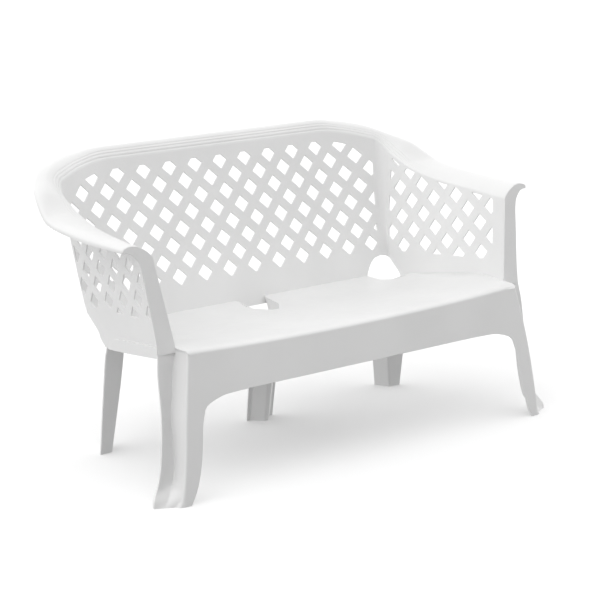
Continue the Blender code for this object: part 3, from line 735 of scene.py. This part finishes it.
def notch(corners):
    """(x, s) along the seat's cut round a rear leg, its corners turned as the leg's are."""
    ring = [Vector(p) for p in corners]
    turns = rounded(ring, [0.0] + [NOTCH_TURN] * (len(ring) - 2) + [0.0])
    line = [ring[0]] + [p for p, _ in turns[4:-4]] + [ring[-1]]
    return [(p.x, p.y - NOSE) for p in line]


def nose_foot(x):
    """Where the rolled front edge ends and the apron begins."""
    return deck_z(x, NOSE) - NOSE


def build_seat():
    """The seat from the rolled front edge to the back wall, with the cuts round the rear legs."""
    xs = [APRON_END * k / 20 for k in range(21)] + [0.5455, 0.556]
    half = kinds([(x, -ROLL) for x in xs], JOINED)
    half += kinds([(deck_edge(y), y - NOSE) for y in (NOSE - ROLL, NOSE, 0.02, 0.035, 0.0459)], FREE)
    edges = [0.0461 + 0.0172 * k for k in range(20)]
    half += kinds([(deck_edge(y) + INTO, y - NOSE) for y in edges], JOINED)
    corner_cut = notch([(SIDE_TOP[0][0], BACK_FOOT[0] + INTO)] + SIDE_TOP[1:-1]
                       + [(deck_edge(0.3885) + INTO, 0.3885)])
    half += kinds(corner_cut[::-1], JOINED)
    right = [(-x, y) for x, y in CENTRE_TOP]
    half += kinds(notch([(right[0][0], BACK_FOOT[0] + INTO)] + right[2:] + [(0, right[-1][1])]), JOINED)
    sheet("seat_panel", ["seat_panel"], doubled(half), [], deck, 0, -WALL, (0.03, 0.02))


def build_ribs():
    """Straight ribs under the seat, crossing at right angles."""
    wide, deep, bar = 0.480, (0.022, 0.318), 0.004
    columns, rows = 8, 3
    dx, dy = 2 * wide / columns, (deep[1] - deep[0]) / rows
    holes = []
    for i in range(columns):
        for j in range(rows):
            x0, y0 = -wide + i * dx + bar / 2, deep[0] + j * dy + bar / 2
            x1, y1 = x0 + dx - bar, y0 + dy - bar
            holes.append([(x0, y0), (x1, y0), (x1, y1), (x0, y1)])
    edge = bar / 2
    outline = [(-wide - edge, deep[0] - edge), (wide + edge, deep[0] - edge),
               (wide + edge, deep[1] + edge), (-wide - edge, deep[1] + edge)]
    sheet("underside_ribs", ["underside_ribs"], kinds(outline, FREE), holes, deck,
          -WALL + INTO, -WALL - 0.015, (0.5, 0.5))


def apron_foot(x):
    """Height of the apron's lower edge, which falls towards the legs."""
    return smooth(APRON_FOOT, abs(x))


def build_apron():
    """The front apron, from the rolled seat edge down to its curved lower edge."""
    half = kinds([(x, nose_foot(x)) for x in [APRON_END * k / 20 for k in range(20)]], JOINED)
    top, low = nose_foot(APRON_END), apron_foot(APRON_END)
    half += kinds([(APRON_END, top + (low - top) * k / 10) for k in range(10)], JOINED)
    feet = [APRON_END - 0.149 * (k / 30) ** 1.5 for k in range(31)]
    half += kinds([(x, apron_foot(x)) for x in feet], FREE)
    sheet("front_apron", ["front_apron"], doubled(half), [], front_face, 0, -WALL, (0.04, 0.02))


def build_side_skirt():
    """The proud band below the arm wall, its rear end bent down beside the rear leg."""
    top = [(y, groove_z(y) - 0.0003) for y in (0.0575, 0.20, 0.30)]
    rear = curved([(0.318, groove_z(0.318)), (0.342, groove_z(0.342) - 0.004), (0.371, 0.312),
                   (0.381, 0.2995)])
    low = [(0.35, 0.3015), (0.26, 0.312), (0.18, 0.322), (0.10, 0.333), (0.0575, 0.339)]
    sheet("side_skirt", ["side_skirt"], kinds(top + rear + low, FREE), [], side_wall, WALL - INTO / 2,
          0.0095, (0.03, 0.02), mirror=True)


def build_rear_skirt():
    """The short skirt under the back wall, between two rear legs."""
    low = curved([(0.056, 0.300), (0.056, 0.288), (0.068, 0.288)])
    low += curved([(0.400, 0.288), (0.416, 0.292), (0.427, 0.3157)])
    outline = kinds([(0.056, 0.316)] + low[:-1], FREE) + kinds([(0.427, 0.316)], JOINED)
    sheet("rear_skirt", ["rear_skirt"], outline, [], back_wall, 0, -WALL, (0.04, 0.02), mirror=True)


# ---- legs and arm posts -------------------------------------------------------------------------
LEG_INNER = [(0.0, 0.597), (0.02, 0.585), (0.06, 0.569), (0.12, 0.555), (0.19, 0.545),
             (WEB_LOW, 0.535)]
LEG_CORNER = [(0.0, 0.635), (0.015, 0.6245), (0.04, 0.6175), (0.105, 0.608), (0.21, 0.595),
              (0.28, 0.5835), (0.373, 0.5663)]
FLANGE_IN_X = [(0.0, 0.658), (0.02, 0.640), (0.05, 0.616), (0.10, 0.606), (0.20, 0.601), (0.28, 0.586),
               (0.36, 0.5708)]
FLANGE_IN_Y = [(0.0, -0.022), (0.02, -0.014), (0.05, 0.003), (0.10, 0.007), (0.20, 0.020),
               (0.28, 0.035), (0.36, 0.050)]
FLANGE_OUT_X = [(0.0, 0.683), (0.01, 0.682), (0.05, 0.658), (0.10, 0.646), (0.24, 0.631),
                (0.31, 0.630), (0.3625, 0.6235)]
FLANGE_OUT_Y = [(0.0, -0.0105), (0.01, -0.010), (0.04, 0.002), (0.10, 0.007), (0.24, 0.025),
                (0.3625, 0.0446)]
POST_OUTER = [(0.3625, 0.6235), (0.40, 0.6245), (0.45, 0.629), (0.50, 0.6345), (0.55, 0.6395),
              (0.58, 0.6440), (0.594, 0.6490)]
FLARE = [(0.6790, 0.6175), (0.6655, 0.6130), (0.6565, 0.6040), (0.6490, 0.594)]
LEG_TOP = 0.3622  # height of the leg's last level section
LEG_TURN = [(0.0, 0.017), (0.02, 0.010), (0.05, 0.006)]  # size of the fold beside the front web, by z
LEG_THICK = [(0.0, 0.010), (0.02, 0.009), (0.05, WALL)]
LEG_START = [(0.20, 0.0015), (WEB_LOW, 0.0001)]  # rounding of the web's inner edge, by z
SCOOP = [(0.07, 0.0), (0.15, 0.005), (0.30, 0.005), (0.355, 0.0)]  # depth of the flange's channel, by z


def front_leg_line(z):
    """The leg's face at height z: front web, side face, and the outer flange with its scoop."""
    y = front_y(z)
    edge, turn = smooth(LEG_CORNER, z), smooth(LEG_TURN, z)
    inner = Vector((smooth(FLANGE_IN_X, z), smooth(FLANGE_IN_Y, z), z))
    outer = Vector((smooth(FLANGE_OUT_X, z), smooth(FLANGE_OUT_Y, z), z))
    scoop = Vector((0, smooth(SCOOP, z), 0))
    band = outer - inner
    start = APRON_END if z >= LEG_INNER[-1][0] else smooth(LEG_INNER, z)
    return [Vector((start, y, z)), Vector((edge - turn, y, z)),
            Vector((edge - 0.3 * turn, y + 0.3 * turn, z)), Vector((edge, y + turn, z)), inner + scoop,
            inner + band * 0.30 + scoop * 0.75, inner + band * 0.60 + scoop * 0.25,
            inner + band * 0.80, outer]


def front_leg_ring(z, lift=None):
    """The closed section with turned corners; lift raises each point of the top one."""
    ring = thickened(front_leg_line(z), smooth(LEG_THICK, z))
    reaches = [smooth(LEG_START, z), 0.004, 0.004, 0.004, 0.002, 0.006, 0.006, 0.006, 0.0015]
    turned_ring = rounded(ring, reaches + reaches[::-1])
    if lift:
        turned_ring = [(Vector((p.x, p.y, lift(p))), run) for p, run in turned_ring]
    return turned_ring


def under_nose(p):
    """Height at which the leg's top meets the underside of the rolled seat edge."""
    if p.x > 0.5725:
        return LEG_TOP + 0.0012
    reach = max(NOSE - max(p.y, front_y(p.z)), 0.0)
    roll = math.sqrt(max(NOSE * NOSE - reach * reach, 0.0))
    return nose_foot(min(p.x, SEAT_HALF)) + roll * 0.6


def build_front_leg():
    """The front leg: sections that lie closer together at the splayed toe."""
    levels = [0.0, 0.004, 0.008, 0.013, 0.018, 0.024, 0.03, 0.037, 0.045, 0.055, 0.065, 0.08]
    levels += [0.095 + 0.0145 * k for k in range(9)] + [WEB_LOW]
    levels += [WEB_LOW + (LEG_TOP - WEB_LOW) * k / 9 for k in range(1, 10)]
    rings = [front_leg_ring(z) for z in levels] + [front_leg_ring(LEG_TOP, under_nose)]
    loft("front_leg", ["front_leg"], rings, mirror=True)


def build_post():
    """The arm's flat front: a band that rises from the leg and caps the end of the rim."""
    line = rim_line(RIM_END)
    cap = [(p.x, p.z) for p in line] + [(line[-1].x, line[-1].z - LIP)]
    outer = [(smooth(POST_OUTER, z), z) for z in [0.585 - 0.0158 * k for k in range(14)]]
    foot = [(smooth(POST_OUTER, 0.3637), 0.3634), (0.5703, 0.3634), (0.5703, 0.3765)]
    inner = [(0.5690, 0.379)] + [(post_x(z), z) for z in (0.385, 0.43, 0.48, 0.53, 0.57)]
    outline = kinds(cap[:-1], FRONT) + kinds([cap[-1]] + curved(FLARE) + outer, FREE)
    outline += kinds(foot, JOINED) + kinds(inner, FRONT)
    sheet("arm_post", ["arm_post"], outline, [], post_face, 0, -WALL, (0.012, 0.03), mirror=True)


def corner_curves(levels, lines):
    """Turns one line of (x, y) corners per level into each corner's two curves over the height."""
    found = []
    for k in range(len(lines[0])):
        cx = [(z, line[k][0]) for z, line in zip(levels, lines)]
        cy = [(z, line[k][1]) for z, line in zip(levels, lines)]
        found.append((cx, cy))
    return found


def rear_leg(name, lines, top, mirror=False):
    """A folded channel leg through its corner lines, ending just under the seat's surface."""
    curves = corner_curves([0.0, 0.27, 0.290, 0.328], lines)
    count = len(top)
    reaches = [LEG_EDGE] + [NOTCH_TURN] * (count - 2) + [LEG_EDGE]
    rings = []
    for z in [0.0, 0.02, 0.05, 0.08, 0.11, 0.14, 0.17, 0.20, 0.22, 0.24, 0.255, 0.27, 0.28, 0.29]:
        line = [(smooth(cx, z), smooth(cy, z), z) for cx, cy in curves]
        rings.append(rounded(thickened(line, WALL), reaches + reaches[::-1]))
    last = thickened([(x, y, deck_z(x, y) - 0.0002) for x, y in top], WALL)
    rings.append(rounded(last, reaches + reaches[::-1]))
    loft(name, [name], rings, mirror)


def build_rear_legs():
    side = [[(0.475, 0.4775), (0.4935, 0.4355), (0.4985, 0.4330), (0.5335, 0.4310)],
            [(0.4400, 0.4660), (0.4590, 0.4220), (0.4655, 0.4160), (0.5350, 0.3960)],
            [(0.4370, 0.4560), (0.4560, 0.4250), (0.4680, 0.4100), (0.5330, 0.3930)], SIDE_TOP]
    rear_leg("rear_leg", side, SIDE_TOP, mirror=True)
    centre = [[(-0.0455, 0.4265), (-0.0345, 0.4262), (-0.0310, 0.4220), (-0.0060, 0.3965)],
              [(-0.0500, 0.3990), (-0.0400, 0.3985), (-0.0385, 0.3920), (-0.0100, 0.3600)],
              [(-0.0500, 0.4300), (-0.0480, 0.4250), (-0.0465, 0.3950), (-0.0120, 0.3570)], CENTRE_TOP]
    whole = [line + [(-x, y) for x, y in line[::-1]] for line in centre]
    rear_leg("rear_leg_centre", whole, whole[-1])


# ---- material -----------------------------------------------------------------------------------
TONES = ((0.765, 0.765, 0.763, 1), (0.795, 0.795, 0.793, 1))  # the plastic's darker and lighter tone
IOR = 1.49


def made_plastic():
    """White polypropylene: a satin skin with fine mould grain, slow waves and faint tone drift."""
    made = bpy.data.materials.new("moulded_plastic")
    made.use_nodes = True
    nodes, links = made.node_tree.nodes, made.node_tree.links
    shader = nodes["Principled BSDF"]
    shader.inputs["IOR"].default_value = IOR
    shader.inputs["Subsurface Weight"].default_value = 0.0
    place = nodes.new("ShaderNodeTexCoord")

    def noise(scale, detail, low, high, first, last):
        """Noise over the object, its span from low to high stretched to run from first to last."""
        source = nodes.new("ShaderNodeTexNoise")
        source.inputs["Scale"].default_value = scale
        source.inputs["Detail"].default_value = detail
        links.new(place.outputs["Object"], source.inputs["Vector"])
        spread = nodes.new("ShaderNodeMapRange")
        for socket, value in (("From Min", low), ("From Max", high), ("To Min", first), ("To Max", last)):
            spread.inputs[socket].default_value = value
        links.new(source.outputs["Fac"], spread.inputs["Value"])
        return spread.outputs["Result"]

    def bump(strength, distance, height):
        """Relief from a height, its distance in metres."""
        relief = nodes.new("ShaderNodeBump")
        relief.inputs["Strength"].default_value = strength
        relief.inputs["Distance"].default_value = distance
        links.new(height, relief.inputs["Height"])
        return relief

    tone = nodes.new("ShaderNodeMix")
    tone.data_type = "RGBA"
    tone.inputs["A"].default_value, tone.inputs["B"].default_value = TONES
    links.new(noise(5.0, 3.0, 0.35, 0.65, 0.0, 1.0), tone.inputs["Factor"])
    links.new(tone.outputs["Result"], shader.inputs["Base Color"])
    links.new(noise(60.0, 4.0, 0.3, 0.7, 0.34, 0.46), shader.inputs["Roughness"])
    grain = bump(0.10, 0.0002, noise(1400.0, 2.0, 0.3, 0.7, 0.0, 1.0))
    wave = bump(0.25, 0.0006, noise(14.0, 1.0, 0.3, 0.7, 0.0, 1.0))
    links.new(wave.outputs["Normal"], grain.inputs["Normal"])
    links.new(grain.outputs["Normal"], shader.inputs["Normal"])
    return made


# ---- stage --------------------------------------------------------------------------------------
FLOOR_HALF = 60.0  # half the floor's side
FLOOR_TONE = (0.95, 0.95, 0.95, 1)


def build_floor():
    """A wide matt floor that takes shadows, but neither lights the bench nor blocks the light below it."""
    mesh = bpy.data.meshes.new("floor")
    corners = [(-1, -1), (1, -1), (1, 1), (-1, 1)]
    mesh.from_pydata([(x * FLOOR_HALF, y * FLOOR_HALF, 0) for x, y in corners], [], [(0, 1, 2, 3)])
    matt = bpy.data.materials.new("floor_paint")
    matt.use_nodes = True
    paint = matt.node_tree.nodes["Principled BSDF"].inputs
    paint["Base Color"].default_value = FLOOR_TONE
    paint["Roughness"].default_value = 0.9
    paint["Specular IOR Level"].default_value = 0.0
    mesh.materials.append(matt)
    floor = bpy.data.objects.new("floor", mesh)
    bpy.context.scene.collection.objects.link(floor)
    floor.visible_diffuse = False
    floor.visible_shadow = False


# Each soft area of the studio dome: the way to its middle, how tight it is, and how bright.
SOFT_AREAS = [((-1.0, 0.0, 1.3), 4.0, 1.3), ((0.0, -1.0, 1.3), 4.0, 1.1), ((-1.0, 0.0, 0.25), 3.0, 1.0),
              ((1.0, 0.0, 0.25), 3.0, 1.8), ((0.0, 1.0, 0.25), 3.0, 1.4), ((0.0, 0.0, -1.0), 4.0, 1.5)]


def build_light():
    """A pale studio dome: the sum of the soft areas, the lowest standing for the floor's bounce."""
    world = bpy.data.worlds.new("studio")
    bpy.context.scene.world = world
    world.use_nodes = True
    nodes, links = world.node_tree.nodes, world.node_tree.links
    place = nodes.new("ShaderNodeTexCoord")

    def number(operation, first, second):
        """The result of a maths node on one output and either another output or a plain number."""
        made = nodes.new("ShaderNodeMath")
        made.operation = operation
        links.new(first, made.inputs[0])
        if isinstance(second, float):
            made.inputs[1].default_value = second
        else:
            links.new(second, made.inputs[1])
        return made.outputs["Value"]

    total = None
    for direction, tightness, brightness in SOFT_AREAS:
        toward = nodes.new("ShaderNodeVectorMath")
        toward.operation = "DOT_PRODUCT"
        toward.inputs[1].default_value = Vector(direction).normalized()
        links.new(place.outputs["Generated"], toward.inputs[0])
        facing = number("MAXIMUM", toward.outputs["Value"], 0.0)
        glow = number("MULTIPLY", number("POWER", facing, tightness), brightness)
        total = glow if total is None else number("ADD", total, glow)
    links.new(total, nodes["Background"].inputs["Strength"])
    nodes["Background"].inputs["Color"].default_value = (1, 1, 1, 1)


FOCAL_LENGTH, SENSOR = 125.35, 36.0  # in millimetres
CAMERA_PLACE = (-3.5065, -4.2434, 1.6735)
CAMERA_TILT, CAMERA_HEADING = 76.575, -39.961  # in degrees


def build_camera():
    lens = bpy.data.cameras.new("camera")
    lens.lens, lens.sensor_width = FOCAL_LENGTH, SENSOR
    camera = bpy.data.objects.new("camera", lens)
    camera.location = CAMERA_PLACE
    camera.rotation_euler = (math.radians(CAMERA_TILT), 0, math.radians(CAMERA_HEADING))
    bpy.context.scene.collection.objects.link(camera)
    bpy.context.scene.camera = camera


# ---- build --------------------------------------------------------------------------------------
plastic = made_plastic()
build_camera()
build_light()
build_floor()
build_back()
build_corner()
build_arm()
build_rims()
build_seat()
build_ribs()
build_apron()
build_side_skirt()
build_rear_skirt()
build_front_leg()
build_post()
build_rear_legs()

view = bpy.context.scene.view_settings
view.view_transform = "Standard"
